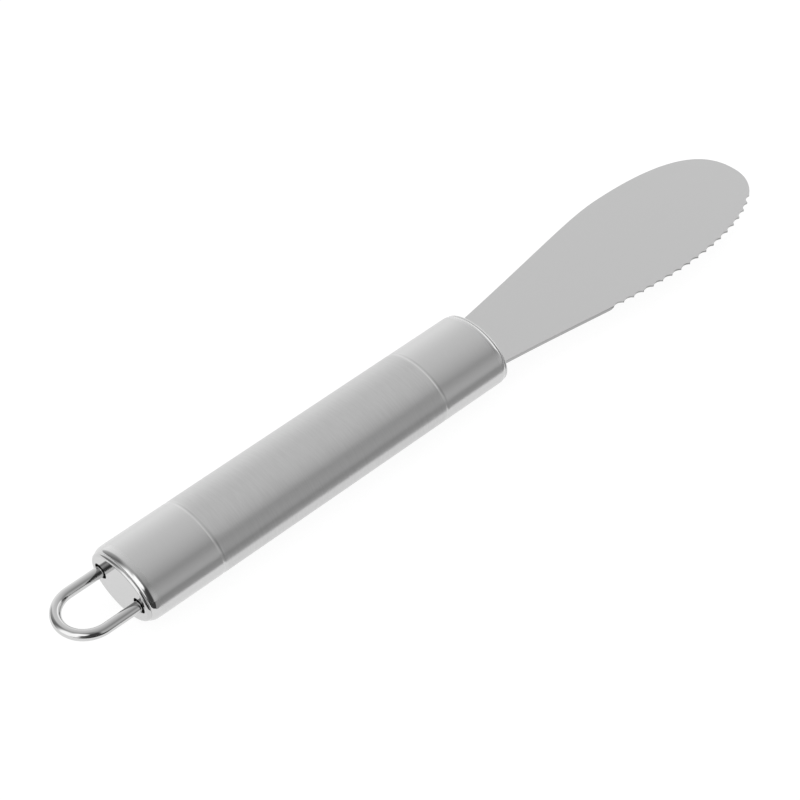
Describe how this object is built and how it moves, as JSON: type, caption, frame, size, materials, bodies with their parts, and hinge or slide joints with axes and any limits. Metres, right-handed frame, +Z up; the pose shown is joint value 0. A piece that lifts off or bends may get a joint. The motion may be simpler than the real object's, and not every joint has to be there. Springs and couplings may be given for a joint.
{
  "type": "butter knife",
  "caption": "Butter knife with a hollow oval steel handle, a wire hanging loop fixed in its end cap and a broad flat spreading blade with a scalloped edge.",
  "frame": {"origin": "on the surface that the knife lies on, under the middle of its length and of its width", "axes": "+X from the hanging loop to the blade's tip, +Y towards the blade's spine, +Z up from the blade's flat side"},
  "size_m": [0.2328, 0.0358, 0.0175],
  "materials": {
    "handle_steel": "stainless steel, brushed round the handle between the two rings and satin outside them",
    "cap_steel": "polished stainless steel",
    "wire_steel": "mirror-polished stainless steel wire",
    "blade_steel": "stainless steel sheet with an even, fine satin finish",
    "weld_steel": "stainless steel weld metal, as it sets, out of sight"
  },
  "bodies": {
    "root": {"handle_tube": "handle_steel", "end_cap": "cap_steel", "hanging_loop": "wire_steel", "loop_welds": "weld_steel", "front_cap": "cap_steel", "blade": "blade_steel", "tang_welds": "weld_steel"}
  },
  "joints": []
}
